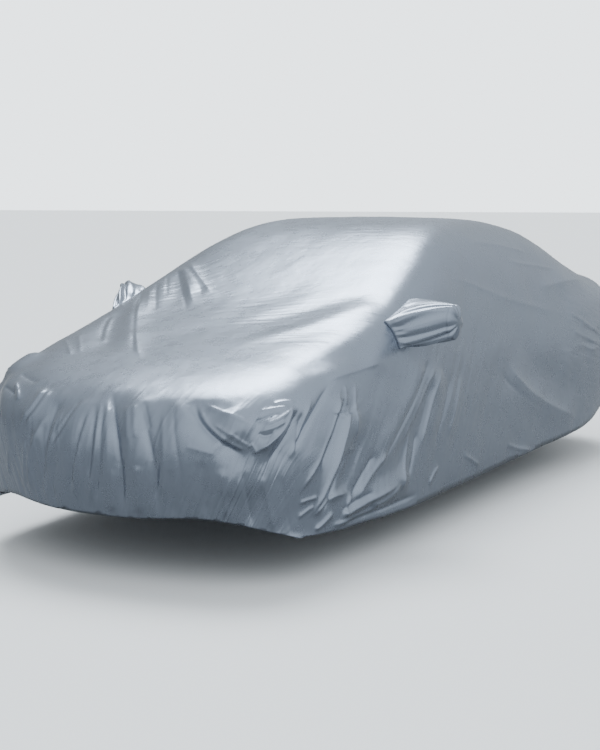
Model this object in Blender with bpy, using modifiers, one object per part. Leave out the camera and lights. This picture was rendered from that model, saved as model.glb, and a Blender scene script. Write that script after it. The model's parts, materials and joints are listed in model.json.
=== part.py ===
"""A fitted cover for a three-box car, in the shape in which it lies over the car that it was cut for.

One coated cloth sheet is closed over the nose, the cabin and the tail, and open below. A pouch is sewn
into it at each door mirror. Metres, +Z up: the nose points to -Y, the tail to +Y, and +X is the car's
left-hand side. The origin is the point under the top cloth where the car's roof carries the cover.
"""
import bmesh
import bpy
import numpy as np

# Driving dimensions
SHEET_THICKNESS = 0.003     # coated polyester with its backing
POUCH_THICKNESS = 0.0025
SEAM_GAP = 0.0003           # between the sheet and each pouch, along the seam
STATION_CELLS = 46          # cells of the sheet's grid from the front hem to the rear hem
LINE_CELLS = 50             # cells of the sheet's grid from the left hem to the right hem
NOSE_CROWDING = 1.22        # above 1, the grid is finer at the nose, where most folds lie
POUCH_CUTS = 6              # pouch cells in one cell of the sheet's grid
WAIST_SHARE = 0.36          # how far the waist and belt lines have gone from hem to rail, lengthways
BELT_SHARE = 0.70
CROWN_REACH = 0.54          # half width of the crown line, as a share of the rail line's
CROWN_FIRST = (0.75, 0.78)  # how far the crown has gone from rail to middle, lengthways and in height
NORMAL_STEP = 0.01          # of a station and of a line, to either side of where a normal is taken

# The form, one row for each section across the car. y is counted from the front wheels' axle and
# z from the ground. x is half a width, at the hem, the waist, the belt and the roof rail.
SECTION_COLUMNS = ("name", "y_hem", "y_rail", "y_mid", "x_hem", "x_waist", "x_belt", "x_rail",
                   "z_hem", "z_waist", "z_belt", "z_rail", "z_mid")
SECTIONS = (
    ("front hem",   -0.44, -0.70, -0.78, 0.82, 0.76, 0.66, 0.50, 0.19, 0.22, 0.26, 0.29, 0.26),
    ("bumper",      -0.27, -0.70, -0.82, 0.86, 0.84, 0.77, 0.62, 0.18, 0.42, 0.52, 0.52, 0.50),
    ("grille",      -0.13, -0.63, -0.78, 0.87, 0.87, 0.82, 0.68, 0.17, 0.46, 0.68, 0.73, 0.71),
    ("hood lip",     0.00, -0.40, -0.52, 0.88, 0.88, 0.85, 0.73, 0.17, 0.47, 0.75, 0.84, 0.84),
    ("hood",         0.24,  0.03, -0.02, 0.90, 0.90, 0.86, 0.76, 0.16, 0.48, 0.80, 0.95, 0.95),
    ("cowl",         0.53,  0.50,  0.42, 0.90, 0.90, 0.86, 0.79, 0.16, 0.48, 0.87, 1.09, 1.08),
    ("windshield",   0.83,  0.91,  0.80, 0.89, 0.89, 0.84, 0.74, 0.16, 0.50, 0.92, 1.27, 1.27),
    ("header",       1.14,  1.29,  1.18, 0.88, 0.87, 0.82, 0.66, 0.16, 0.51, 0.97, 1.42, 1.41),
    ("roof",         1.55,  1.70,  1.70, 0.88, 0.87, 0.81, 0.64, 0.17, 0.52, 0.97, 1.42, 1.45),
    ("roof end",     2.06,  2.38,  2.29, 0.88, 0.88, 0.81, 0.63, 0.18, 0.53, 0.98, 1.385, 1.405),
    ("rear glass",   2.44,  2.72,  2.74, 0.90, 0.89, 0.82, 0.65, 0.19, 0.54, 0.98, 1.235, 1.26),
    ("trunk",        2.77,  3.07,  3.12, 0.90, 0.89, 0.83, 0.69, 0.22, 0.55, 0.94, 1.055, 1.08),
    ("trunk lip",    3.07,  3.44,  3.51, 0.87, 0.87, 0.81, 0.68, 0.33, 0.57, 0.89, 1.05, 1.06),
    ("rear bumper",  3.27,  3.57,  3.64, 0.82, 0.82, 0.76, 0.64, 0.40, 0.59, 0.75, 0.81, 0.80),
    ("rear hem",     3.37,  3.55,  3.59, 0.76, 0.70, 0.62, 0.50, 0.43, 0.43, 0.43, 0.42, 0.41),
)
ROOF_STATION = 8            # the section that the car's roof carries
MIDDLE_LINE = 5             # lines run 0 left hem, 3 left rail, 5 middle, 7 right rail, 10 right hem
LAST_LINE = 10

# The main folds. A path runs through three (station, line) places: a station is a row of the table
# above, counted from 0, and a line is a place across it. Width and height are in metres, and a
# trough has a negative height.
FOLD_COLUMNS = ("name", "start", "middle", "end", "width", "height")
FOLDS = (
    # the nose, where the cloth hangs over the grille and bumper
    ("corner pull upper",   (2.40, 5.90), (1.95, 6.00), (1.50, 6.20), 0.050,  0.010),
    ("corner pull lower",   (2.20, 5.55), (1.70, 5.65), (1.25, 5.85), 0.045, -0.009),
    ("nose ridge right",    (2.35, 5.12), (1.40, 5.18), (0.20, 5.25), 0.050,  0.008),
    ("nose trough right",   (2.50, 4.92), (1.60, 4.60), (0.15, 4.42), 0.050, -0.008),
    ("nose ridge middle",   (2.45, 4.58), (1.60, 4.32), (0.10, 4.15), 0.050,  0.007),
    ("nose trough middle",  (2.35, 4.17), (1.50, 4.00), (0.10, 3.88), 0.045, -0.006),
    ("nose ridge left",     (2.35, 3.94), (1.50, 3.74), (0.10, 3.60), 0.050,  0.006),
    ("swag trough upper",   (2.35, 3.72), (1.85, 3.42), (1.42, 3.00), 0.055, -0.014),
    ("swag trough lower",   (1.50, 3.10), (1.24, 2.78), (1.10, 2.35), 0.055, -0.015),
    ("swag belly",          (2.15, 3.30), (1.80, 2.95), (1.60, 2.62), 0.070,  0.014),
    ("corner ridge",        (1.15, 2.38), (1.75, 2.20), (2.50, 2.30), 0.050,  0.018),
    ("corner trough",       (2.50, 2.16), (1.75, 1.97), (0.90, 2.00), 0.050, -0.018),
    ("bumper slack",        (0.95, 1.70), (0.70, 2.30), (0.65, 3.00), 0.060,  0.012),
    # the left side
    ("fender trough",       (3.15, 3.02), (3.75, 2.72), (4.45, 2.45), 0.060, -0.009),
    ("fender ridge",        (3.35, 2.52), (3.90, 2.36), (4.60, 2.20), 0.060,  0.006),
    ("wheel ridge front",   (3.35, 2.05), (2.70, 1.57), (0.95, 1.05), 0.055,  0.013),
    ("wheel trough front",  (3.20, 1.85), (2.75, 1.38), (1.30, 0.82), 0.050, -0.012),
    ("wheel ridge broad",   (3.45, 1.72), (3.05, 1.30), (1.60, 0.58), 0.060,  0.017),
    ("wheel trough broad",  (3.45, 1.40), (3.05, 0.95), (1.95, 0.55), 0.050, -0.014),
    ("door ridge long",     (5.15, 1.90), (4.75, 1.40), (3.30, 0.60), 0.070,  0.013),
    ("door trough long",    (5.45, 1.60), (5.05, 1.15), (4.00, 0.62), 0.070, -0.011),
    ("door ridge short",    (5.75, 1.65), (5.50, 1.25), (5.15, 0.75), 0.060,  0.009),
    ("hem bunch",           (4.60, 0.42), (3.60, 0.40), (1.50, 0.20), 0.050,  0.018),
    ("quarter swoop",       (7.90, 1.35), (8.85, 0.62), (10.30, 0.25), 0.060,  0.010),
    ("quarter hollow",      (8.20, 1.45), (9.20, 0.95), (10.60, 0.60), 0.080, -0.006),
    # the top
    ("cowl pull",           (5.05, 3.15), (4.45, 3.55), (3.60, 4.40), 0.060,  0.008),
    ("cowl slack",          (5.30, 3.40), (4.80, 3.90), (4.20, 4.60), 0.070, -0.007),
    ("right cowl ridge",    (5.75, 6.60), (5.35, 6.10), (4.90, 5.70), 0.050,  0.009),
    ("right cowl trough",   (5.55, 6.62), (5.10, 6.10), (4.60, 5.75), 0.050, -0.009),
    ("right hood fold",     (4.95, 6.55), (4.15, 6.00), (3.35, 5.20), 0.060,  0.010),
    ("right hood trough",   (4.75, 6.62), (3.95, 6.20), (3.30, 5.60), 0.060, -0.009),
    ("tail crease",         (8.90, 2.20), (9.80, 2.28), (11.20, 2.65), 0.060,  0.008),
    # the tail and the right side
    ("tail corner ridge",   (12.30, 2.30), (13.00, 1.95), (13.70, 2.00), 0.060,  0.018),
    ("tail trough",         (12.60, 3.40), (13.10, 3.30), (13.80, 3.20), 0.060, -0.016),
    ("tail ridge",          (12.60, 4.40), (13.10, 4.30), (13.80, 4.10), 0.060,  0.014),
    ("tail trough right",   (12.60, 5.60), (13.10, 5.80), (13.80, 6.10), 0.060, -0.014),
    ("tail ridge right",    (12.50, 6.70), (13.00, 7.00), (13.70, 7.20), 0.060,  0.017),
    ("right corner lift",   (3.30, 6.95), (2.90, 7.20), (2.45, 7.40), 0.070,  0.024),
    ("right corner ridge",  (2.60, 7.75), (1.90, 7.90), (1.00, 8.00), 0.055,  0.018),
    ("right corner trough", (2.60, 7.45), (1.90, 7.30), (1.10, 7.10), 0.055, -0.016),
    ("right wheel ridge",   (3.50, 8.05), (3.00, 8.60), (1.80, 9.35), 0.060,  0.017),
    ("right wheel trough",  (3.70, 8.35), (3.40, 8.90), (2.60, 9.50), 0.060, -0.014),
    ("right door ridge",    (5.60, 8.10), (5.20, 8.75), (4.60, 9.50), 0.070,  0.013),
    ("right door trough",   (6.20, 8.40), (6.00, 8.90), (5.60, 9.50), 0.070, -0.010),
    ("right quarter fold",  (8.20, 8.60), (9.20, 9.20), (10.60, 9.70), 0.070,  0.013),
)
FOLD_STEPS = 12             # straight pieces that stand for one fold's path
FOLD_FADE_IN = 0.25         # share of a fold's length over which it rises from the flat cloth
FOLD_FADE_OUT = 0.30

# The mirror pouches. The seam's place is in (station, line) limits. The outer end's middle is in the
# section table's frame, and its half depth lies along the car.
POUCH_COLUMNS = ("name", "stations", "lines", "end", "half_depth", "half_height")
POUCHES = (
    ("mirror_pouch_left",  (4.80, 5.50), (2.20, 2.80), (1.005, 0.61, 0.99), 0.075, 0.078),
    ("mirror_pouch_right", (4.80, 5.50), (7.20, 7.80), (-0.90, 0.66, 1.04), 0.070, 0.078),
)
SEAM_INSET = 1.5 * SEAM_GAP # measured towards the opening's middle, so that corners keep the gap too
NECK_HEIGHT = 0.006         # how far the pouch stands straight out of the sheet before it spreads
WALL_SHARE = 0.62           # share of the pouch's cells, from the seam inwards, that make its wall
WALL_BULGE = 0.014          # how far the wall swells between the seam and the end
END_DOME = 0.032            # how far the end's middle stands past the end's rim
CORNER_FULLNESS = 0.5       # how far the end's outline fills its corners

COVER_COLOUR = (0.44, 0.48, 0.52, 1.0)
COVER_ROUGHNESS = 0.42
COVER_METALLIC = 0.25       # the coating's silver pigment


def spline_weights(count, places):
    """Weights of count cage points at each place, for a cubic B-spline that reaches both end points."""
    places = np.asarray(places, float)
    first = np.clip(np.floor(places).astype(int), 0, count - 2)
    t = places - first
    blend = ((1 - t) ** 3, 3 * t ** 3 - 6 * t ** 2 + 4, -3 * t ** 3 + 3 * t ** 2 + 3 * t + 1, t ** 3)
    padded = np.zeros((len(places), count + 2))
    for step, share in enumerate(blend):
        padded[np.arange(len(places)), first + step] += share / 6
    weights = padded[:, 1:-1].copy()
    weights[:, 0] += 2 * padded[:, 0]
    weights[:, 1] -= padded[:, 0]
    weights[:, -1] += 2 * padded[:, -1]
    weights[:, -2] -= padded[:, -1]
    return weights


def section_cage():
    """Cage points, section by section and from the left hem over the middle to the right hem."""
    rows = []
    for values in SECTIONS:
        row = dict(zip(SECTION_COLUMNS, values))
        run = row["y_rail"] - row["y_hem"]
        crown_y = row["y_rail"] + CROWN_FIRST[0] * (row["y_mid"] - row["y_rail"])
        crown_z = row["z_rail"] + CROWN_FIRST[1] * (row["z_mid"] - row["z_rail"])
        half = [(row["x_hem"], row["y_hem"], row["z_hem"]),
                (row["x_waist"], row["y_hem"] + WAIST_SHARE * run, row["z_waist"]),
                (row["x_belt"], row["y_hem"] + BELT_SHARE * run, row["z_belt"]),
                (row["x_rail"], row["y_rail"], row["z_rail"]),
                (CROWN_REACH * row["x_rail"], crown_y, crown_z)]
        other = [(-x, y, z) for x, y, z in reversed(half)]
        rows.append(half + [(0.0, row["y_mid"], row["z_mid"])] + other)
    return np.array(rows)


CAGE = section_cage()


def form_points(stations, lines):
    """Points of the smooth form at matching arrays of stations and lines, before any fold."""
    along = spline_weights(len(SECTIONS), stations)
    across = spline_weights(LAST_LINE + 1, lines)
    return np.einsum("ni,nj,ijk->nk", along, across, CAGE)


def form_normals(stations, lines):
    """Outward unit normals of the smooth form."""
    forward = form_points(stations + NORMAL_STEP, lines) - form_points(stations - NORMAL_STEP, lines)
    sideways = form_points(stations, lines + NORMAL_STEP) - form_points(stations, lines - NORMAL_STEP)
    normal = np.cross(forward, sideways)
    return normal / np.linalg.norm(normal, axis=1)[:, None]


def smooth(share):
    """Soft step from 0 to 1."""
    share = np.clip(share, 0.0, 1.0)
    return share * share * (3 - 2 * share)


def fold_path(start, middle, end):
    """Points of a bowed path that starts, passes and ends at three (station, line) places."""
    share = np.linspace(0, 1, FOLD_STEPS + 1)[:, None]
    start, middle, end = (np.array(place) for place in (start, middle, end))
    pull = 2 * middle - (start + end) / 2
    places = (1 - share) ** 2 * start + 2 * share * (1 - share) * pull + share ** 2 * end
    return form_points(places[:, 0], places[:, 1])


def fold_heights(points):
    """How far the folds lift each point of the form along its normal."""
    total = np.zeros(len(points))
    for values in FOLDS:
        fold = dict(zip(FOLD_COLUMNS, values))
        path = fold_path(fold["start"], fold["middle"], fold["end"])
        nearest = np.full(len(points), np.inf)
        share = np.zeros(len(points))
        for step in range(FOLD_STEPS):
            base, run = path[step], path[step + 1] - path[step]
            along = np.clip((points - base) @ run / (run @ run), 0, 1)
            distance = np.linalg.norm(points - base - along[:, None] * run, axis=1)
            closer = distance < nearest
            nearest[closer] = distance[closer]
            share[closer] = (step + along[closer]) / FOLD_STEPS
        fade = smooth(share / FOLD_FADE_IN) * smooth((1 - share) / FOLD_FADE_OUT)
        total += fold["height"] * fade * np.exp(-(nearest / fold["width"]) ** 2)
    return total


def cover_points(stations, lines):
    """Points of the cloth's outer face, folds included, in the part's frame."""
    points = form_points(stations, lines)
    lifted = points + form_normals(stations, lines) * fold_heights(points)[:, None]
    return lifted - ROOF_SEAT


def roof_seat():
    """The place under the top cloth where the roof carries it, in the section table's frame."""
    place = np.array([float(ROOF_STATION)]), np.array([float(MIDDLE_LINE)])
    return form_points(*place)[0] - SHEET_THICKNESS * form_normals(*place)[0]


ROOF_SEAT = roof_seat()
STATION_STOPS = (len(SECTIONS) - 1) * np.linspace(0, 1, STATION_CELLS + 1) ** NOSE_CROWDING
LINE_STOPS = np.linspace(0, LAST_LINE, LINE_CELLS + 1)


def stop_range(stops, limits):
    """First and last grid stop nearest to the two limits."""
    return tuple(int(np.argmin(abs(stops - limit))) for limit in limits)


def clear_scene():
    for leftover in list(bpy.data.objects):
        bpy.data.objects.remove(leftover, do_unlink=True)


def cloth_material(name):
    material = bpy.data.materials.new(name)
    material.use_nodes = True
    shader = material.node_tree.nodes["Principled BSDF"]
    shader.inputs["Base Color"].default_value = COVER_COLOUR
    shader.inputs["Roughness"].default_value = COVER_ROUGHNESS
    shader.inputs["Metallic"].default_value = COVER_METALLIC
    return material


def cloth_grid(name, across, along, collection, material):
    """A flat grid of across by along cells, whose vertices are then laid on the form."""
    bpy.ops.mesh.primitive_grid_add(x_subdivisions=across, y_subdivisions=along, size=1)
    grid = bpy.context.object
    grid.name = name
    grid.data.materials.append(material)
    for holder in list(grid.users_collection):
        holder.objects.unlink(grid)
    collection.objects.link(grid)
    return grid


def lay(grid, points):
    """Move a grid's vertices, which run row by row, to the given points, with its faces outwards."""
    grid.data.vertices.foreach_set("co", points.reshape(-1))
    grid.data.flip_normals()
    grid.data.update()


def thicken(sheet, thickness):
    """Give an open sheet its thickness inwards, so that its outer face stays where it was laid."""
    wall = sheet.modifiers.new("thickness", "SOLIDIFY")
    wall.thickness = thickness
    wall.offset = -1
    sheet.data.shade_smooth()


def cover_sheet(collection, material):
    """The main sheet, with an opening where each pouch is sewn in."""
    stations, lines = np.meshgrid(STATION_STOPS, LINE_STOPS, indexing="ij")
    points = cover_points(stations.ravel(), lines.ravel())
    sheet = cloth_grid("cover_sheet", LINE_CELLS, STATION_CELLS, collection, material)
    lay(sheet, points)
    pouches = [dict(zip(POUCH_COLUMNS, values)) for values in POUCHES]
    cut_openings(sheet, [(stop_range(STATION_STOPS, pouch["stations"]),
                          stop_range(LINE_STOPS, pouch["lines"])) for pouch in pouches])
    normals = edge_normals(sheet, points)
    thicken(sheet, SHEET_THICKNESS)
    shape = (STATION_CELLS + 1, LINE_CELLS + 1, 3)
    return points.reshape(shape), normals.reshape(shape)


def edge_normals(sheet, points):
    """The cut sheet's own vertex normals, given for every point of the uncut grid."""
    count = len(sheet.data.vertices)
    places, normals = np.empty(count * 3, np.float32), np.empty(count * 3, np.float32)
    sheet.data.vertices.foreach_get("co", places)
    sheet.data.vertices.foreach_get("normal", normals)
    kept = {tuple(place): normal for place, normal in zip(places.reshape(-1, 3), normals.reshape(-1, 3))}
    return np.array([kept.get(tuple(point), (0, 0, 1)) for point in points.astype(np.float32)])


def cut_openings(sheet, openings):
    """Delete the grid's cells inside each opening's limits."""
    shape = bmesh.new()
    shape.from_mesh(sheet.data)
    shape.faces.ensure_lookup_table()
    cut = []
    for (first_station, last_station), (first_line, last_line) in openings:
        for station in range(first_station, last_station):
            row = station * LINE_CELLS
            cut += [shape.faces[row + line] for line in range(first_line, last_line)]
    bmesh.ops.delete(shape, geom=cut, context="FACES")
    shape.to_mesh(sheet.data)
    shape.free()


def opening_patch(grid, pouch):
    """A (station, line, 3) grid over one opening, finer by POUCH_CUTS and straight from stop to stop."""
    first_station, last_station = stop_range(STATION_STOPS, pouch["stations"])
    first_line, last_line = stop_range(LINE_STOPS, pouch["lines"])
    corner = grid[first_station:last_station + 1, first_line:last_line + 1]
    long, wide = last_station - first_station, last_line - first_line
    rows = np.linspace(0, long, long * POUCH_CUTS + 1)
    columns = np.linspace(0, wide, wide * POUCH_CUTS + 1)
    return bilinear(corner, *np.meshgrid(rows, columns, indexing="ij"))


def bilinear(patch, row_at, column_at):
    """Points of a patch at fractional rows and columns."""
    row = np.clip(np.floor(row_at).astype(int), 0, patch.shape[0] - 2)
    column = np.clip(np.floor(column_at).astype(int), 0, patch.shape[1] - 2)
    u, v = (row_at - row)[..., None], (column_at - column)[..., None]
    return ((1 - u) * (1 - v) * patch[row, column] + u * (1 - v) * patch[row + 1, column]
            + (1 - u) * v * patch[row, column + 1] + u * v * patch[row + 1, column + 1])


def pouch_points(points, normals, pouch):
    """Points of a pouch's outer face, from its seam in the sheet to its blunt outer end."""
    patch, facing = opening_patch(points, pouch), opening_patch(normals, pouch)
    rows, columns = patch.shape[:2]
    a, b = np.meshgrid(np.linspace(-1, 1, rows), np.linspace(-1, 1, columns), indexing="ij")
    depth = 1 - np.maximum(abs(a), abs(b))          # 0 on the seam and 1 at the end's middle
    ring = 2 / (min(rows, columns) - 1)
    side = np.sign(patch[..., 0].mean())

    # the neck: each spot's place on the seam's outline, a gap inside the opening's edge
    scale = 1 / np.maximum(1 - depth, ring)
    at_row = (np.clip(a * scale, -1, 1) + 1) / 2 * (rows - 1)
    at_column = (np.clip(b * scale, -1, 1) + 1) / 2 * (columns - 1)
    edge, out = bilinear(patch, at_row, at_column), bilinear(facing, at_row, at_column)
    inward = patch.mean(axis=(0, 1)) - edge
    inward -= out * (inward * out).sum(axis=2)[..., None]
    inward /= np.linalg.norm(inward, axis=2)[..., None] + 1e-9
    risen = np.clip(depth / ring, 0, 1)[..., None]
    neck = edge + inward * SEAM_INSET + out * (risen * (SHEET_THICKNESS + NECK_HEIGHT) - SHEET_THICKNESS)

    # the wall runs from the neck to the end's rim, and the end is domed
    turn = np.arctan2(b, a)
    fullness = np.maximum(abs(np.cos(turn)), abs(np.sin(turn))) ** -CORNER_FULLNESS
    across = np.stack([0 * turn, fullness * np.cos(turn), side * fullness * np.sin(turn)], 2)
    across *= (0, pouch["half_depth"], pouch["half_height"])
    end = np.array(pouch["end"]) - ROOF_SEAT
    wall = np.clip((depth - ring) / (WALL_SHARE - ring), 0, 1)[..., None]
    dome = np.clip((depth - WALL_SHARE) / (1 - WALL_SHARE), 0, 1)[..., None] * np.pi / 2
    rim = end + across * np.cos(dome) + np.array((side * END_DOME, 0, 0)) * np.sin(dome)
    swell = across / np.linalg.norm(across, axis=2)[..., None] * np.sin(np.pi * wall) * WALL_BULGE
    return neck * (1 - wall) + rim * wall + swell


def mirror_pouch(points, normals, values, collection, material):
    """One pouch over a door mirror, sewn into its opening."""
    pouch = dict(zip(POUCH_COLUMNS, values))
    laid = pouch_points(points, normals, pouch)
    rows, columns = laid.shape[:2]
    sheet = cloth_grid(pouch["name"], columns - 1, rows - 1, collection, material)
    lay(sheet, laid)
    thicken(sheet, POUCH_THICKNESS)


def build():
    clear_scene()
    collection = bpy.data.collections.new("car_cover")
    bpy.context.scene.collection.children.link(collection)
    points, normals = cover_sheet(collection, cloth_material("cover_cloth"))
    for values in POUCHES:
        mirror_pouch(points, normals, values, collection, cloth_material("pouch_cloth"))


build()
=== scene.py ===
"""Looks of a fitted car cover: the silver cloth sheet with its folds, and a pouch over each door mirror.

The cloth is laid on the same form as the solids: a table of sections across the car gives the smooth
shape, and tables of folds lift and lower it. A place on the cloth is a station, counted along the car
in rows of the section table, and a line, counted across it from the left hem to the right hem.
"""
import json
import math

import bpy
import numpy as np
from bpy.props import FloatProperty, FloatVectorProperty, PointerProperty
from bpy.types import Operator, Panel, PropertyGroup
from mathutils import Matrix, Vector, noise

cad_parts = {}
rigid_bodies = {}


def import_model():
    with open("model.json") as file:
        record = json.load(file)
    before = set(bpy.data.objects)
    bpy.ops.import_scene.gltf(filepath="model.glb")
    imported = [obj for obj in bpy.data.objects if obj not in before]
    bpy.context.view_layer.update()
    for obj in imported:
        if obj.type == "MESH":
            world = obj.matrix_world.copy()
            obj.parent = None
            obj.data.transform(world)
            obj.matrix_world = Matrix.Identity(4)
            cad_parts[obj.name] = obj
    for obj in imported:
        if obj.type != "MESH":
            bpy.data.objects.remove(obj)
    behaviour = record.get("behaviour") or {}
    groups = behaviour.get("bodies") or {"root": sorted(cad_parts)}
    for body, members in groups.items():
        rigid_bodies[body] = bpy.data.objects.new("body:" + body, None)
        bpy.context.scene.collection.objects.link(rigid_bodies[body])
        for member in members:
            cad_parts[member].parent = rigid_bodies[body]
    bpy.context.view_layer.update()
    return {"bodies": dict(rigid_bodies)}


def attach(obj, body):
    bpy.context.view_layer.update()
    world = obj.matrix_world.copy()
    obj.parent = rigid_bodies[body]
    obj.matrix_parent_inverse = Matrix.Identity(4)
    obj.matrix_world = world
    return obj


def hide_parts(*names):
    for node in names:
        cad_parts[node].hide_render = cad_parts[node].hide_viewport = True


bl_info = {
    "name": "Fitted car cover",
    "version": (1, 0, 0),
    "blender": (4, 5, 0),
    "location": "View3D > Sidebar > Car Cover",
    "description": "Lays a folded cloth cover over the solids of a fitted car cover",
    "category": "Add Mesh",
}

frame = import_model()
BODY = next(iter(frame["bodies"]))

# ---------------------------------------------------------------------------------------------------
# The form. y is counted from the front wheels' axle and z from the ground, in metres.

SECTION_COLUMNS = ("name", "y_hem", "y_rail", "y_mid", "x_hem", "x_waist", "x_belt", "x_rail",
                   "z_hem", "z_waist", "z_belt", "z_rail", "z_mid")
SECTIONS = (
    ("front hem",   -0.44, -0.70, -0.78, 0.82, 0.76, 0.66, 0.50, 0.19, 0.22, 0.26, 0.29, 0.26),
    ("bumper",      -0.27, -0.70, -0.82, 0.86, 0.84, 0.77, 0.62, 0.18, 0.42, 0.52, 0.52, 0.50),
    ("grille",      -0.13, -0.63, -0.78, 0.87, 0.87, 0.82, 0.68, 0.17, 0.46, 0.68, 0.73, 0.71),
    ("hood lip",     0.00, -0.40, -0.52, 0.88, 0.88, 0.85, 0.73, 0.17, 0.47, 0.75, 0.84, 0.84),
    ("hood",         0.24,  0.03, -0.02, 0.90, 0.90, 0.86, 0.76, 0.16, 0.48, 0.80, 0.95, 0.95),
    ("cowl",         0.53,  0.50,  0.42, 0.90, 0.90, 0.86, 0.79, 0.16, 0.48, 0.87, 1.09, 1.08),
    ("windshield",   0.83,  0.91,  0.80, 0.89, 0.89, 0.84, 0.74, 0.16, 0.50, 0.92, 1.27, 1.27),
    ("header",       1.14,  1.29,  1.18, 0.88, 0.87, 0.82, 0.66, 0.16, 0.51, 0.97, 1.42, 1.41),
    ("roof",         1.55,  1.70,  1.70, 0.88, 0.87, 0.81, 0.64, 0.17, 0.52, 0.97, 1.42, 1.45),
    ("roof end",     2.06,  2.38,  2.29, 0.88, 0.88, 0.81, 0.63, 0.18, 0.53, 0.98, 1.385, 1.405),
    ("rear glass",   2.44,  2.72,  2.74, 0.90, 0.89, 0.82, 0.65, 0.19, 0.54, 0.98, 1.235, 1.26),
    ("trunk",        2.77,  3.07,  3.12, 0.90, 0.89, 0.83, 0.69, 0.22, 0.55, 0.94, 1.055, 1.08),
    ("trunk lip",    3.07,  3.44,  3.51, 0.87, 0.87, 0.81, 0.68, 0.33, 0.57, 0.89, 1.05, 1.06),
    ("rear bumper",  3.27,  3.57,  3.64, 0.82, 0.82, 0.76, 0.64, 0.40, 0.59, 0.75, 0.81, 0.80),
    ("rear hem",     3.37,  3.55,  3.59, 0.76, 0.70, 0.62, 0.50, 0.43, 0.43, 0.43, 0.42, 0.41),
)
WAIST_SHARE = 0.36          # how far the waist and belt lines have gone from hem to rail, lengthways
BELT_SHARE = 0.70
CROWN_REACH = 0.54          # half width of the crown line, as a share of the rail line's
CROWN_FIRST = (0.75, 0.78)  # how far the crown has gone from rail to middle, lengthways and in height
NORMAL_STEP = 0.01          # part of a station or a line over which a slope is measured
ROOF_STATION = 8            # where the roof carries the cloth, on its middle line
MIDDLE_LINE = 5
LAST_LINE = 10
SHEET_THICKNESS = 0.003     # of the solid's sheet, under the visible cloth

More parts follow.
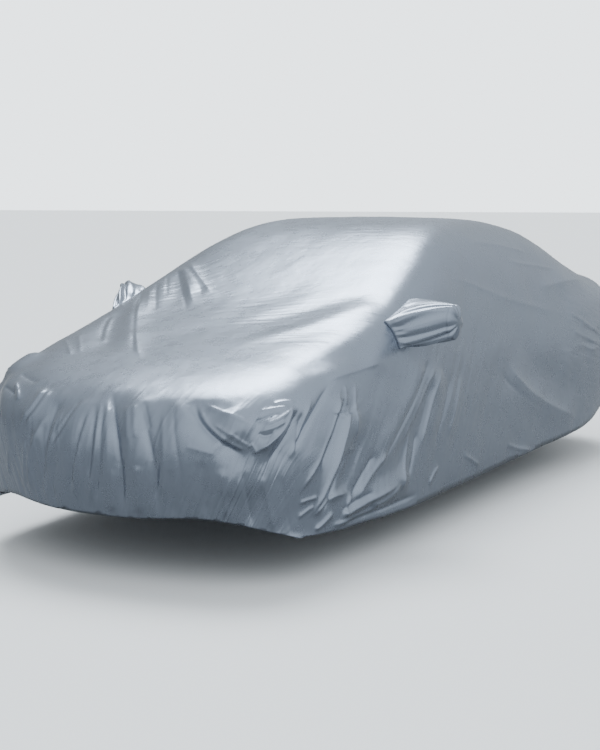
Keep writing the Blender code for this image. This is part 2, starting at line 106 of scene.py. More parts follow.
FOLD_PLACES = ("start", "middle", "end")
FOLD_COLUMNS = ("name", *FOLD_PLACES, "width", "height")
MAIN_FOLDS = (
    # the nose, where the cloth hangs over the grille and bumper
    ("corner pull upper",   (2.40, 5.90), (1.95, 6.00), (1.50, 6.20), 0.050,  0.010),
    ("corner pull lower",   (2.20, 5.55), (1.70, 5.65), (1.25, 5.85), 0.045, -0.009),
    ("nose ridge right",    (2.35, 5.12), (1.40, 5.18), (0.20, 5.25), 0.050,  0.008),
    ("nose trough right",   (2.50, 4.92), (1.60, 4.60), (0.15, 4.42), 0.050, -0.008),
    ("nose ridge middle",   (2.45, 4.58), (1.60, 4.32), (0.10, 4.15), 0.050,  0.007),
    ("nose trough middle",  (2.35, 4.17), (1.50, 4.00), (0.10, 3.88), 0.045, -0.006),
    ("nose ridge left",     (2.35, 3.94), (1.50, 3.74), (0.10, 3.60), 0.050,  0.006),
    ("swag trough upper",   (2.35, 3.72), (1.85, 3.42), (1.42, 3.00), 0.055, -0.014),
    ("swag trough lower",   (1.50, 3.10), (1.24, 2.78), (1.10, 2.35), 0.055, -0.015),
    ("swag belly",          (2.15, 3.30), (1.80, 2.95), (1.60, 2.62), 0.070,  0.014),
    ("corner ridge",        (1.15, 2.38), (1.75, 2.20), (2.50, 2.30), 0.050,  0.018),
    ("corner trough",       (2.50, 2.16), (1.75, 1.97), (0.90, 2.00), 0.050, -0.018),
    ("bumper slack",        (0.95, 1.70), (0.70, 2.30), (0.65, 3.00), 0.060,  0.012),
    # the left side
    ("fender trough",       (3.15, 3.02), (3.75, 2.72), (4.45, 2.45), 0.060, -0.009),
    ("fender ridge",        (3.35, 2.52), (3.90, 2.36), (4.60, 2.20), 0.060,  0.006),
    ("wheel ridge front",   (3.35, 2.05), (2.70, 1.57), (0.95, 1.05), 0.055,  0.013),
    ("wheel trough front",  (3.20, 1.85), (2.75, 1.38), (1.30, 0.82), 0.050, -0.012),
    ("wheel ridge broad",   (3.45, 1.72), (3.05, 1.30), (1.60, 0.58), 0.060,  0.017),
    ("wheel trough broad",  (3.45, 1.40), (3.05, 0.95), (1.95, 0.55), 0.050, -0.014),
    ("door ridge long",     (5.15, 1.90), (4.75, 1.40), (3.30, 0.60), 0.070,  0.013),
    ("door trough long",    (5.45, 1.60), (5.05, 1.15), (4.00, 0.62), 0.070, -0.011),
    ("door ridge short",    (5.75, 1.65), (5.50, 1.25), (5.15, 0.75), 0.060,  0.009),
    ("hem bunch",           (4.60, 0.42), (3.60, 0.40), (1.50, 0.20), 0.050,  0.018),
    ("quarter swoop",       (7.90, 1.35), (8.85, 0.62), (10.30, 0.25), 0.060,  0.010),
    ("quarter hollow",      (8.20, 1.45), (9.20, 0.95), (10.60, 0.60), 0.080, -0.006),
    # the top
    ("cowl pull",           (5.05, 3.15), (4.45, 3.55), (3.60, 4.40), 0.060,  0.008),
    ("cowl slack",          (5.30, 3.40), (4.80, 3.90), (4.20, 4.60), 0.070, -0.007),
    ("right cowl ridge",    (5.75, 6.60), (5.35, 6.10), (4.90, 5.70), 0.050,  0.009),
    ("right cowl trough",   (5.55, 6.62), (5.10, 6.10), (4.60, 5.75), 0.050, -0.009),
    ("right hood fold",     (4.95, 6.55), (4.15, 6.00), (3.35, 5.20), 0.060,  0.010),
    ("right hood trough",   (4.75, 6.62), (3.95, 6.20), (3.30, 5.60), 0.060, -0.009),
    ("tail crease",         (8.90, 2.20), (9.80, 2.28), (11.20, 2.65), 0.060,  0.008),
    # the tail and the right side
    ("tail corner ridge",   (12.30, 2.30), (13.00, 1.95), (13.70, 2.00), 0.060,  0.018),
    ("tail trough",         (12.60, 3.40), (13.10, 3.30), (13.80, 3.20), 0.060, -0.016),
    ("tail ridge",          (12.60, 4.40), (13.10, 4.30), (13.80, 4.10), 0.060,  0.014),
    ("tail trough right",   (12.60, 5.60), (13.10, 5.80), (13.80, 6.10), 0.060, -0.014),
    ("tail ridge right",    (12.50, 6.70), (13.00, 7.00), (13.70, 7.20), 0.060,  0.017),
    ("right corner lift",   (3.30, 6.95), (2.90, 7.20), (2.45, 7.40), 0.070,  0.024),
    ("right corner ridge",  (2.60, 7.75), (1.90, 7.90), (1.00, 8.00), 0.055,  0.018),
    ("right corner trough", (2.60, 7.45), (1.90, 7.30), (1.10, 7.10), 0.055, -0.016),
    ("right wheel ridge",   (3.50, 8.05), (3.00, 8.60), (1.80, 9.35), 0.060,  0.017),
    ("right wheel trough",  (3.70, 8.35), (3.40, 8.90), (2.60, 9.50), 0.060, -0.014),
    ("right door ridge",    (5.60, 8.10), (5.20, 8.75), (4.60, 9.50), 0.070,  0.013),
    ("right door trough",   (6.20, 8.40), (6.00, 8.90), (5.60, 9.50), 0.070, -0.010),
    ("right quarter fold",  (8.20, 8.60), (9.20, 9.20), (10.60, 9.70), 0.070,  0.013),
)
FOLD_STEPS = 12             # straight pieces that stand for one fold's path
FOLD_REACH = 5.0            # widths from its path past which a fold is too low to show
FOLD_FADE_IN = 0.25         # share of a fold's length over which it rises from the flat cloth
FOLD_FADE_OUT = 0.30

# The fine creases between the main folds, placed like them. A positive lean makes a crease steep on its
# right, as seen along its path from above the cloth.
CREASE_COLUMNS = (*FOLD_COLUMNS, "lean")
CREASES = (
    # the nose
    ("nose sharp trough",       (2.45, 4.92), (1.35, 4.54), (0.05, 4.38), 0.010, -0.013, 0.2),
    ("nose sharp trough left",  (2.28, 4.90), (1.43, 4.68), (0.55, 4.67), 0.016,  0.007, 0.0),
    ("nose bright rib",         (2.20, 4.96), (1.25, 4.84), (0.10, 5.01), 0.008,  0.009, 0.2),
    ("nose rib trough right",   (2.20, 4.92), (1.25, 4.78), (0.18, 4.88), 0.008, -0.009, 0.0),
    ("nose rib trough left",    (2.15, 5.01), (1.38, 4.90), (0.60, 4.99), 0.010, -0.008, 0.0),
    ("nose fan a",              (2.08, 5.03), (1.20, 5.08), (0.18, 5.30), 0.010,  0.007, 0.3),
    ("nose fan a dark",         (2.00, 5.06), (1.15, 5.14), (0.23, 5.38), 0.010, -0.008, 0.0),
    ("nose fan b",              (2.25, 5.22), (1.60, 5.33), (0.88, 5.67), 0.012,  0.006, 0.3),
    ("nose fan c",              (2.23, 5.26), (1.72, 5.33), (1.25, 5.55), 0.010, -0.006, 0.0),
    ("nose fan d",              (2.18, 5.28), (1.68, 5.39), (1.20, 5.62), 0.010,  0.006, 0.2),
    ("nose pull long",          (1.85, 5.67), (1.05, 5.96), (0.13, 6.30), 0.012,  0.010, 0.3),
    ("nose pull dark",          (2.15, 5.60), (1.25, 5.66), (0.20, 5.97), 0.012, -0.008, 0.0),
    ("nose pull middle",        (1.93, 5.46), (1.30, 5.57), (0.65, 5.74), 0.010,  0.007, 0.2),
    ("nose pull upper a",       (2.35, 5.90), (1.87, 5.99), (1.43, 6.23), 0.009,  0.006, 0.2),
    ("nose pull upper b",       (2.30, 5.81), (1.84, 5.89), (1.45, 6.12), 0.009,  0.006, 0.2),
    ("nose pull upper dark",    (2.35, 5.87), (1.85, 5.94), (1.45, 6.17), 0.009, -0.005, 0.0),
    ("nose wide trough",        (2.25, 4.45), (1.25, 4.05), (0.05, 3.77), 0.015, -0.013, 0.3),
    ("nose thin trough",        (2.28, 4.42), (1.92, 4.24), (1.65, 4.15), 0.007, -0.006, 0.0),
    ("nose soft rib a",         (2.18, 4.60), (1.80, 4.47), (1.35, 4.38), 0.014,  0.005, 0.0),
    ("nose soft rib b",         (2.20, 4.51), (1.80, 4.36), (1.45, 4.28), 0.010,  0.005, 0.0),
    ("nose faint rib",          (2.20, 4.11), (1.20, 3.86), (0.20, 3.70), 0.012,  0.005, 0.0),
    ("nose faint trough",       (2.23, 3.99), (1.18, 3.65), (0.08, 3.29), 0.008, -0.005, 0.0),
    ("nose low shelf",          (1.35, 3.60), (1.28, 3.36), (1.18, 3.08), 0.014,  0.003, 0.0),
    ("nose far rib a",          (1.23, 6.10), (0.75, 6.21), (0.18, 6.44), 0.010,  0.006, 0.0),
    ("nose far rib b",          (1.15, 6.01), (0.93, 6.05), (0.60, 6.14), 0.009,  0.005, 0.0),
    ("nose far rib c",          (0.88, 6.64), (0.63, 6.78), (0.30, 6.99), 0.010,  0.005, 0.0),
    ("nose low fall a",         (1.00, 4.20), (0.60, 4.15), (0.00, 4.06), 0.014,  0.006, 0.0),
    ("nose low fall b",         (1.08, 3.27), (0.63, 3.11), (0.00, 2.79), 0.014, -0.006, 0.0),
    ("nose low fall c",         (0.95, 2.90), (0.50, 2.67), (0.00, 2.29), 0.016,  0.006, 0.0),
    ("nose low fall d",         (0.93, 2.50), (0.50, 2.18), (0.00, 1.63), 0.014, -0.006, 0.0),
    ("nose low fall e",         (0.90, 2.08), (0.50, 1.66), (0.00, 0.97), 0.014,  0.006, 0.0),
    ("nose low fall f",         (0.93, 5.47), (0.53, 5.62), (0.05, 5.76), 0.012, -0.005, 0.0),
    ("nose low fall g",         (0.90, 4.58), (0.48, 4.56), (0.05, 4.58), 0.012,  0.004, 0.0),
    ("nose low fall h",         (0.95, 3.72), (0.53, 3.61), (0.00, 3.47), 0.012, -0.004, 0.0),
    ("nose low fall i",         (0.98, 1.66), (0.60, 1.20), (0.00, 0.30), 0.012, -0.004, 0.0),
    ("corner pinch bright",     (2.38, 6.65), (2.13, 6.42), (1.95, 6.33), 0.009,  0.009, 0.0),
    ("corner pinch dark",       (2.20, 6.94), (2.13, 6.65), (2.05, 6.46), 0.012, -0.009, 0.0),
    ("corner hollow",           (2.60, 6.69), (2.50, 6.39), (2.43, 6.14), 0.014, -0.006, 0.0),
    # the swag at the left front corner
    ("swag outer trough",       (2.38, 3.81), (1.62, 3.33), (1.18, 2.56), 0.016, -0.016, -0.2),
    ("swag outer ridge",        (2.28, 3.72), (1.58, 3.19), (1.28, 2.52), 0.010,  0.010, -0.3),
    ("swag inner ridge",        (2.30, 3.70), (2.01, 3.21), (1.83, 2.74), 0.011,  0.007, -0.2),
    ("swag inner line",         (1.88, 3.43), (1.57, 2.98), (1.33, 2.50), 0.009,  0.007, -0.2),
    ("swag right ridge",        (2.55, 2.40), (1.85, 2.16), (1.23, 2.47), 0.010,  0.016, 0.2),
    ("swag right trough",       (2.58, 2.27), (1.80, 2.01), (1.05, 2.09), 0.012, -0.014, 0.0),
    ("swag pinch a",            (1.83, 2.56), (2.08, 2.36), (2.40, 2.33), 0.008,  0.008, 0.2),
    ("swag pinch b",            (1.70, 2.56), (1.85, 2.34), (2.10, 2.24), 0.008,  0.007, 0.2),
    ("swag pinch dark a",       (1.88, 2.74), (2.03, 2.58), (2.25, 2.45), 0.008, -0.008, 0.0),
    ("swag pinch dark b",       (1.68, 2.56), (1.63, 2.40), (1.75, 2.29), 0.008, -0.008, 0.0),
    ("swag pinch low",          (1.43, 2.59), (1.35, 2.49), (1.23, 2.38), 0.008,  0.007, 0.0),
    ("swag edge line a",        (2.35, 2.68), (2.50, 2.56), (2.60, 2.36), 0.007,  0.005, 0.0),
    ("swag edge line b",        (2.13, 2.79), (2.28, 2.58), (2.43, 2.36), 0.007,  0.005, 0.0),
    # the left side
    ("fender shelf edge",       (3.33, 2.40), (3.80, 2.28), (4.38, 2.16), 0.012,  0.004, 0.4),
    ("side fall a dark",        (3.36, 2.33), (2.48, 1.91), (1.48, 1.66), 0.009, -0.012, -0.3),
    ("side fall a",             (2.93, 2.29), (2.13, 1.86), (1.38, 1.66), 0.009,  0.009, 0.0),
    ("side fall small",         (2.55, 2.15), (2.10, 1.88), (1.70, 1.70), 0.007, -0.007, 0.0),
    ("side fall b",             (3.46, 2.15), (2.45, 1.40), (0.85, 1.04), 0.008,  0.013, -0.3),
    ("side fall b dark",        (3.46, 1.97), (2.80, 1.44), (1.90, 1.06), 0.010, -0.009, 0.0),
    ("side fall c",             (3.46, 1.81), (2.45, 1.03), (0.68, 0.47), 0.012,  0.018, -0.4),
    ("side fall c dark",        (3.08, 1.16), (2.20, 0.76), (1.10, 0.38), 0.009, -0.013, 0.0),
    ("side fall c pinch",       (3.01, 1.13), (3.13, 1.13), (3.26, 1.09), 0.007,  0.007, 0.0),
    ("side upright line",       (3.76, 2.11), (3.45, 1.54), (3.21, 1.07), 0.009,  0.007, 0.0),
    ("side upright line b",     (3.56, 2.13), (3.46, 1.95), (3.38, 1.77), 0.009,  0.005, 0.0),
    ("side fall d",             (4.01, 0.91), (3.45, 0.67), (2.78, 0.39), 0.015,  0.012, -0.2),
    ("side fall d dark",        (3.73, 0.97), (3.22, 0.70), (2.63, 0.43), 0.012, -0.011, 0.0),
    ("side fall e",             (4.71, 1.09), (4.46, 0.68), (4.23, 0.30), 0.014,  0.011, -0.3),
    ("side fall e dark",        (4.93, 1.02), (4.75, 0.73), (4.53, 0.43), 0.013, -0.008, 0.0),
    ("side long fall",          (5.48, 1.81), (4.66, 1.30), (3.83, 0.79), 0.014, -0.009, -0.3),
    ("side long fall light",    (5.66, 1.72), (5.00, 1.35), (4.36, 0.91), 0.013,  0.008, 0.0),
    ("side long fall b",        (5.81, 1.65), (5.35, 1.25), (4.96, 0.75), 0.013,  0.007, 0.0),
    ("side door line",          (6.09, 1.52), (5.75, 1.09), (5.38, 0.66), 0.014, -0.005, 0.0),
    ("side door line light",    (6.46, 1.45), (6.18, 1.09), (5.86, 0.72), 0.016,  0.005, 0.0),
    ("hem facet edge a",        (2.65, 0.52), (1.70, 0.56), (0.80, 0.43), 0.010,  0.014, 0.3),
    ("hem facet edge b",        (2.68, 0.50), (2.35, 0.36), (1.98, 0.20), 0.009,  0.011, 0.3),
    ("hem facet a low",         (1.65, 0.34), (1.08, 0.23), (0.58, 0.14), 0.009,  0.011, 0.0),
    ("hem facet b",             (4.18, 0.43), (2.98, 0.31), (1.73, 0.20), 0.012,  0.015, 0.3),
    ("hem facet b dark",        (3.41, 0.43), (2.70, 0.37), (1.95, 0.29), 0.009, -0.011, 0.0),
    ("hem facet c",             (4.23, 0.41), (3.68, 0.26), (3.18, 0.25), 0.012,  0.014, 0.0),
    ("hem low ridge",           (3.63, 0.21), (2.50, 0.14), (1.18, 0.11), 0.010,  0.011, 0.3),
    ("hem tuck dark",           (4.88, 0.16), (3.35, 0.12), (1.68, 0.09), 0.010, -0.010, 0.0),
    ("hem corner rib a",        (1.33, 0.70), (1.00, 0.79), (0.75, 0.91), 0.008,  0.008, 0.0),
    ("hem corner rib b",        (1.05, 0.61), (0.78, 0.64), (0.48, 0.68), 0.008,  0.007, 0.0),
    ("hem small a",             (5.56, 0.41), (5.36, 0.32), (5.18, 0.21), 0.008,  0.008, 0.0),
    ("hem small b",             (6.44, 0.41), (6.74, 0.29), (7.06, 0.14), 0.008,  0.007, 0.0),
    ("hem small c",             (7.86, 0.29), (8.24, 0.13), (8.62, 0.02), 0.009,  0.007, 0.0),
    ("rear swoop",              (7.91, 1.36), (8.80, 0.71), (10.22, 0.20), 0.014,  0.004, 0.3),
    ("rear swoop dark",         (7.66, 1.31), (8.30, 0.86), (9.14, 0.45), 0.014, -0.003, 0.0),
    ("rear belt light",         (6.61, 2.52), (7.91, 2.13), (9.34, 1.79), 0.014,  0.003, 0.0),
    ("rear tail a",             (9.69, 1.81), (10.40, 1.62), (11.09, 1.47), 0.009,  0.004, 0.0),
    ("rear tail b",             (9.84, 1.54), (10.34, 1.41), (10.99, 1.29), 0.009,  0.003, 0.0),
    ("rear tail c",             (9.92, 1.34), (10.44, 1.25), (11.02, 1.13), 0.009,  0.003, 0.0),
    ("rear quarter line",       (8.84, 2.18), (9.69, 2.25), (11.12, 2.61), 0.012,  0.003, 0.0),
    ("rear quarter line b",     (8.31, 2.56), (8.89, 2.47), (9.72, 2.47), 0.012,  0.003, 0.0),
    ("rear rail line",          (7.64, 2.88), (8.34, 2.77), (8.97, 2.65), 0.012,  0.003, 0.0),
    # the top
    ("screen fan light a",      (5.81, 6.60), (5.38, 5.95), (5.01, 5.49), 0.009,  0.004, 0.2),
    ("screen fan dark a",       (5.76, 6.65), (5.33, 5.99), (4.91, 5.55), 0.011, -0.003, 0.0),
    ("screen fan dark b",       (5.64, 6.67), (5.13, 6.06), (4.53, 5.49), 0.011, -0.004, 0.0),
    ("screen fan light b",      (5.66, 6.58), (5.21, 6.03), (4.71, 5.53), 0.010,  0.003, 0.0),
    ("screen fan dark c",       (5.43, 6.67), (5.18, 6.39), (4.88, 6.10), 0.008, -0.003, 0.0),
    ("screen fan dark d",       (5.26, 6.69), (4.88, 6.30), (4.46, 5.92), 0.011, -0.004, 0.0),
    ("screen fan light d",      (5.08, 6.64), (4.81, 6.35), (4.46, 6.03), 0.010,  0.003, 0.0),
    ("hood right bend dark",    (5.21, 6.94), (4.25, 6.06), (3.38, 5.28), 0.012, -0.006, 0.0),
    ("hood right bend light",   (4.83, 6.51), (3.95, 5.77), (3.26, 5.06), 0.010,  0.005, 0.0),
    ("hood right bend b dark",  (4.36, 6.67), (4.01, 6.40), (3.63, 6.05), 0.011, -0.004, 0.0),
    ("hood right bend b light", (4.33, 6.57), (3.96, 6.28), (3.58, 5.92), 0.010,  0.004, 0.0),
    ("hood ripple a",           (3.63, 6.80), (3.43, 6.44), (3.18, 6.10), 0.009,  0.003, 0.0),
    ("hood ripple b",           (3.78, 6.64), (3.53, 6.31), (3.28, 6.03), 0.009,  0.003, 0.0),
)
CREST_ROUNDING = 0.24       # radius of a crease's crest, as a share of its width
LEAN_SHARE = 0.55           # how much a full lean narrows one flank and widens the other
CREASE_FADE = 0.20          # share of a crease's length over which it rises and sinks
MIRRORED_GROUPS = ("side", "hem", "rear", "fender")     # creases that the right side has too
MIRROR_SHIFT = 0.12         # how many stations farther back they are there
MIRROR_HEIGHT = 0.85

# Patches of fine creases in the material: the middle (station, line), the creases' angle from along the
# car in degrees, the patch's half length and half width, and a crease's length, width and height.
STREAK_COLUMNS = ("name", "middle", "angle", "reach", "length", "width", "height")
STREAKS = (
    ("nose",        (0.60, 5.00),   0, (0.50, 1.90), 0.50, 0.060, 0.010),
    ("left wheel",  (3.20, 0.90),  38, (0.70, 0.65), 0.50, 0.070, 0.004),
    ("right wheel", (3.20, 9.10), -38, (0.70, 0.65), 0.50, 0.070, 0.006),
    ("left door",   (6.00, 1.20),  50, (1.10, 0.80), 0.70, 0.120, 0.007),
    ("right door",  (6.00, 8.80), -50, (1.10, 0.80), 0.70, 0.120, 0.007),
    ("screen",      (5.00, 6.50), -35, (0.50, 0.50), 0.30, 0.050, 0.004),
    ("cowl",        (4.50, 4.00), 115, (0.45, 0.80), 0.45, 0.055, 0.003),
    ("roof front",  (6.90, 5.20),  95, (0.35, 1.00), 0.30, 0.050, 0.003),
    ("left tail",   (10.8, 1.50), -12, (0.80, 0.60), 0.45, 0.070, 0.006),
    ("right tail",  (10.8, 8.50),  12, (0.80, 0.60), 0.45, 0.070, 0.006),
    ("tail",        (13.4, 5.00),   0, (0.50, 1.60), 0.50, 0.070, 0.010),
)
RIDGE_ROUNDING = 0.004      # how blunt the material's creases are

# Noise in the material: in the colour, in the surface, and along a patch's creases.
NOISE_COLUMNS = ("Scale", "Detail", "Roughness", "Distortion")
DRIFT = (1.7, 3.0, 0.55, 0.0)
MOTTLE = (14.0, 5.0, 0.60, 0.0)
RIPPLE = (7.0, 2.0, 0.45, 0.4)
CRUMPLE = (18.0, 1.0, 0.45, 0.5)
STREAK_WAVES = (1.0, 1.0, 0.40, 0.3)
DRIFT_SHARE = 0.7           # of the change in colour
MOTTLE_SHARE = 0.3
TONES = (0.90, 1.06)        # the coating's darkest and lightest tone, as shares of its colour
SMOOTHER = 0.05             # roughness of the smoothest places, below the coating's
ROUGHER = 0.10              # roughness that the mottle adds
SHEEN = {"Sheen Weight": 0.15, "Sheen Roughness": 0.4}
RIPPLE_HEIGHT = 0.0022
CRUMPLE_HEIGHT = 0.0007
MIX_COLOURS = (6, 7)        # a Mix node's inputs for two colours, and its output for the mixed one
MIX_RESULT = 2

# Small random hollows, where the cloth hangs and where it lies: their size along and across it, how much
# finer their second layer is, their height and their place in the noise.
HOLLOW_COLUMNS = ("along", "across", "finer", "height", "layer")
HOLLOWS = (
    (0.45, 0.40, 2.3, 0.006, 0.0),
    (0.30, 0.22, 2.1, 0.003, 7.0),
)
HOLLOW_DETAIL = 0.5         # height of the second layer, as a share of the first
LYING_FROM = 0.35           # upward part of a normal from which the cloth begins to lie
LYING_RISE = 0.40           # how much more of it makes the cloth lie fully
LENGTH_SAMPLES = 400        # places at which lengths of cloth are added up

# The grid. It has so many cells up to each station and each line, and the pouches' seams lie on its
# stops. SOLID_ values are those of the solid's sheet, whose stops the seams follow.
SOLID_STATION_CELLS = 46
SOLID_LINE_CELLS = 50
NOSE_CROWDING = 1.22
STATION_GRID = ((3.00, 30), ("seam", 28), ("seam", 11), (6.60, 14), (9.00, 32), (12.00, 30), (14.00, 20))
LINE_GRID = (("seam", 26), ("seam", 11), (5.00, 25), ("seam", 22), ("seam", 11), (10.00, 22))
REFINE_REACH = (2.4, 1.5)   # cells closer to a crease than so many of its widths, and a margin, are split
REFINE_MARGIN = (0.012, 0.0045)             # once, and the closest ones twice
HEM_CELLS = 2               # rows of cells past the cloth's edge: the turn, and the hem inside
HEM_WIDTH = 0.024           # how far the hem is turned back inside
HEM_GAP = 0.0035            # between the cloth and its turned hem

# Each pouch: its opening between two stations and two lines, the middle of its blunt end, its half depth
# and half height there, and its cloth's flat size and area.
POUCH_COLUMNS = ("name", "stations", "lines", "end", "half_depth", "half_height", "flat", "area")
POUCHES = (
    ("mirror_pouch_left", (4.80, 5.50), (2.20, 2.80), (1.005, 0.61, 0.99), 0.075, 0.078,
     (0.45, 0.45), 0.200),
    ("mirror_pouch_right", (4.80, 5.50), (7.20, 7.80), (-0.90, 0.66, 1.04), 0.070, 0.078,
     (0.40, 0.40), 0.150),
)
POUCH_ROWS = 97             # vertices of a pouch's grid each way
POUCH_THICKNESS = 0.0025
SEAM_INSET = 0.00045        # from the opening's edge to the pouch's cloth
NECK_HEIGHT = 0.006         # how far the first ring of cells stands above the sheet
WALL_SHARE = 0.62           # share of a pouch's cloth that makes its wall, before its blunt end
WALL_BULGE = 0.014
END_DOME = 0.032            # how far the end's middle stands out
CORNER_FULLNESS = 0.32      # 0 for a round end, and more for a squarer one
POUCH_FOLD_COLUMNS = ("name", "turn_at_neck", "turn_at_end", "width", "height")
POUCH_FOLDS = (             # turns and widths in degrees: 0 is the pouch's rear, 90 its top, 180 its front
    ("top ridge",      118,  98, 10,  0.006),
    ("top hollow",     134, 110,  9, -0.006),
    ("front ridge",    150, 120,  9,  0.008),
    ("front hollow",   168, 142, 13, -0.004),
    ("belly hollow",   204, 192,  9, -0.007),
    ("lower ridge",    216, 204,  7,  0.005),
    ("lower trough",   228, 218,  7, -0.011),
    ("bottom ridge",   239, 232,  6,  0.007),
    ("bottom trough",  252, 250,  8, -0.010),
    ("under ridge",    280, 276, 12,  0.006),
    ("under hollow",   312, 318, 12, -0.006),
    ("rear ridge",     345, 350, 12,  0.006),
    ("rear hollow",     20,  30, 12, -0.006),
    ("rear top ridge",  50,  62, 12,  0.006),
    ("rear top hollow", 80,  80, 10, -0.004),
)
NECK_PLEATS = 17            # small gathers round the neck
PLEAT_HEIGHT = 0.003
PLEAT_REACH = 0.30          # how far along the wall they fade out
POUCH_FOLD_RISE = 0.15      # share of the wall over which folds and gathers rise from the neck
POUCH_MAP_SIZE = 0.4        # side of a pouch's flat cloth in its UV map
TINY = 1e-9                 # keeps a direction of length 0 from being divided by 0

CAMERA_PLACE = (3.853, -5.368, 1.634)       # from the ground under the front axle's middle
FRAME_HEIGHT = 36           # of the camera, in millimetres
CLIP_END = 200              # farther away than the floor's edge, in metres
FLOOR_SIZE = 120
FLOOR_FINISH = {"Roughness": 0.9, "Specular IOR Level": 0.1}
DOME_RISE = 0.7             # height of the dome, of 1, from which it is as bright as overhead
SOFTBOX_EDGE = 0.94         # cosine of the angle from the bright patch's middle to its edge


def spline_weights(count, places):
    """Weights of count cage points at each place, for a cubic B-spline that reaches both end points."""
    places = np.asarray(places, float)
    first = np.clip(np.floor(places).astype(int), 0, count - 2)
    t = places - first
    blend = ((1 - t) ** 3, 3 * t ** 3 - 6 * t ** 2 + 4, -3 * t ** 3 + 3 * t ** 2 + 3 * t + 1, t ** 3)
    padded = np.zeros((len(places), count + 2))
    for step, share in enumerate(blend):
        padded[np.arange(len(places)), first + step] += share / 6
    weights = padded[:, 1:-1].copy()
    weights[:, 0] += 2 * padded[:, 0]
    weights[:, 1] -= padded[:, 0]
    weights[:, -1] += 2 * padded[:, -1]
    weights[:, -2] -= padded[:, -1]
    return weights


def section_cage():
    """Cage points, section by section and from the left hem over the middle to the right hem."""
    rows = []
    for values in SECTIONS:
        row = dict(zip(SECTION_COLUMNS, values))
        run = row["y_rail"] - row["y_hem"]
        crown_y = row["y_rail"] + CROWN_FIRST[0] * (row["y_mid"] - row["y_rail"])
        crown_z = row["z_rail"] + CROWN_FIRST[1] * (row["z_mid"] - row["z_rail"])
        half = [(row["x_hem"], row["y_hem"], row["z_hem"]),
                (row["x_waist"], row["y_hem"] + WAIST_SHARE * run, row["z_waist"]),
                (row["x_belt"], row["y_hem"] + BELT_SHARE * run, row["z_belt"]),
                (row["x_rail"], row["y_rail"], row["z_rail"]),
                (CROWN_REACH * row["x_rail"], crown_y, crown_z)]
        other = [(-x, y, z) for x, y, z in reversed(half)]
        rows.append(half + [(0.0, row["y_mid"], row["z_mid"])] + other)
    return np.array(rows)


CAGE = section_cage()


def form_points(stations, lines):
    """Points of the smooth form at matching arrays of stations and lines, before any fold."""
    along = spline_weights(len(SECTIONS), stations)
    across = spline_weights(LAST_LINE + 1, lines)
    half = np.einsum("nj,ijk->nik", across, CAGE)
    return np.einsum("ni,nik->nk", along, half)


def form_normals(stations, lines):
    """Outward unit normals of the smooth form."""
    forward = form_points(stations + NORMAL_STEP, lines) - form_points(stations - NORMAL_STEP, lines)
    sideways = form_points(stations, lines + NORMAL_STEP) - form_points(stations, lines - NORMAL_STEP)
    normal = np.cross(forward, sideways)
    return normal / np.linalg.norm(normal, axis=1)[:, None]


def smooth(share):
    """Soft step from 0 to 1."""
    share = np.clip(share, 0.0, 1.0)
    return share * share * (3 - 2 * share)


def fold_path(fold):
    """Points of a bowed path that starts, passes and ends at three (station, line) places."""
    share = np.linspace(0, 1, FOLD_STEPS + 1)[:, None]
    start, middle, end = (np.array(fold[place]) for place in FOLD_PLACES)
    pull = 2 * middle - (start + end) / 2
    places = (1 - share) ** 2 * start + 2 * share * (1 - share) * pull + share ** 2 * end
    return form_points(places[:, 0], places[:, 1])


def nearest_on_path(points, normals, path):
    """Signed distance of each point to a path, positive on its left, and the path's share gone there."""
    nearest = np.full(len(points), np.inf)
    side = np.ones(len(points))
    share = np.zeros(len(points))
    steps = len(path) - 1
    for step in range(steps):
        base, run = path[step], path[step + 1] - path[step]
        away = points - base
        along = np.clip(away @ run / (run @ run), 0, 1)
        rest = away - along[:, None] * run
        distance = np.einsum("nk,nk->n", rest, rest)
        closer = distance < nearest
        nearest[closer] = distance[closer]
        share[closer] = (step + along[closer]) / steps
        left = np.einsum("nk,nk->n", np.cross(run, away[closer]), normals[closer])
        side[closer] = np.where(left < 0, -1, 1)
    return np.sqrt(nearest) * side, share


def near_path(points, path, reach):
    """Which points lie in a box round the path, so far from it at most."""
    return ((points > path.min(axis=0) - reach) & (points < path.max(axis=0) + reach)).all(axis=1)


def lift_by(folds, profile, points, normals):
    """How far folds lift each point, by the profile of a fold at a distance and a share of its path."""
    total = np.zeros(len(points))
    for fold in folds:
        path = fold_path(fold)
        near = near_path(points, path, FOLD_REACH * fold["width"])
        distance, share = nearest_on_path(points[near], normals[near], path)
        total[near] += fold["height"] * profile(distance, share, fold)
    return total


def round_profile(distance, share, fold):
    """A soft ridge or trough."""
    fade = smooth(share / FOLD_FADE_IN) * smooth((1 - share) / FOLD_FADE_OUT)
    return fade * np.exp(-(distance / fold["width"]) ** 2)


def crest_profile(distance, share, crease):
    """A rounded crest between two hollow flanks, one steeper than the other."""
    fade = smooth(share / CREASE_FADE) * smooth((1 - share) / CREASE_FADE)
    width = crease["width"] * (1 + LEAN_SHARE * crease["lean"] * np.sign(distance))
    crest = CREST_ROUNDING * width
    return fade * np.exp(-(np.sqrt(distance ** 2 + crest ** 2) - crest) / width)


def rows_of(columns, table):
    """A table's rows, each as a dictionary of its named columns."""
    return [dict(zip(columns, values)) for values in table]


def other_side(crease):
    """The same crease on the right of the cover, a little farther back."""
    other = {**crease, "height": MIRROR_HEIGHT * crease["height"], "lean": -crease["lean"]}
    for place in FOLD_PLACES:
        station, line = crease[place]
        other[place] = (station + MIRROR_SHIFT, LAST_LINE - line)
    return other


def roof_seat():
    """The place under the top cloth where the roof carries it, which is the frame's origin."""
    place = np.array([float(ROOF_STATION)]), np.array([float(MIDDLE_LINE)])
    return form_points(*place)[0] - SHEET_THICKNESS * form_normals(*place)[0]


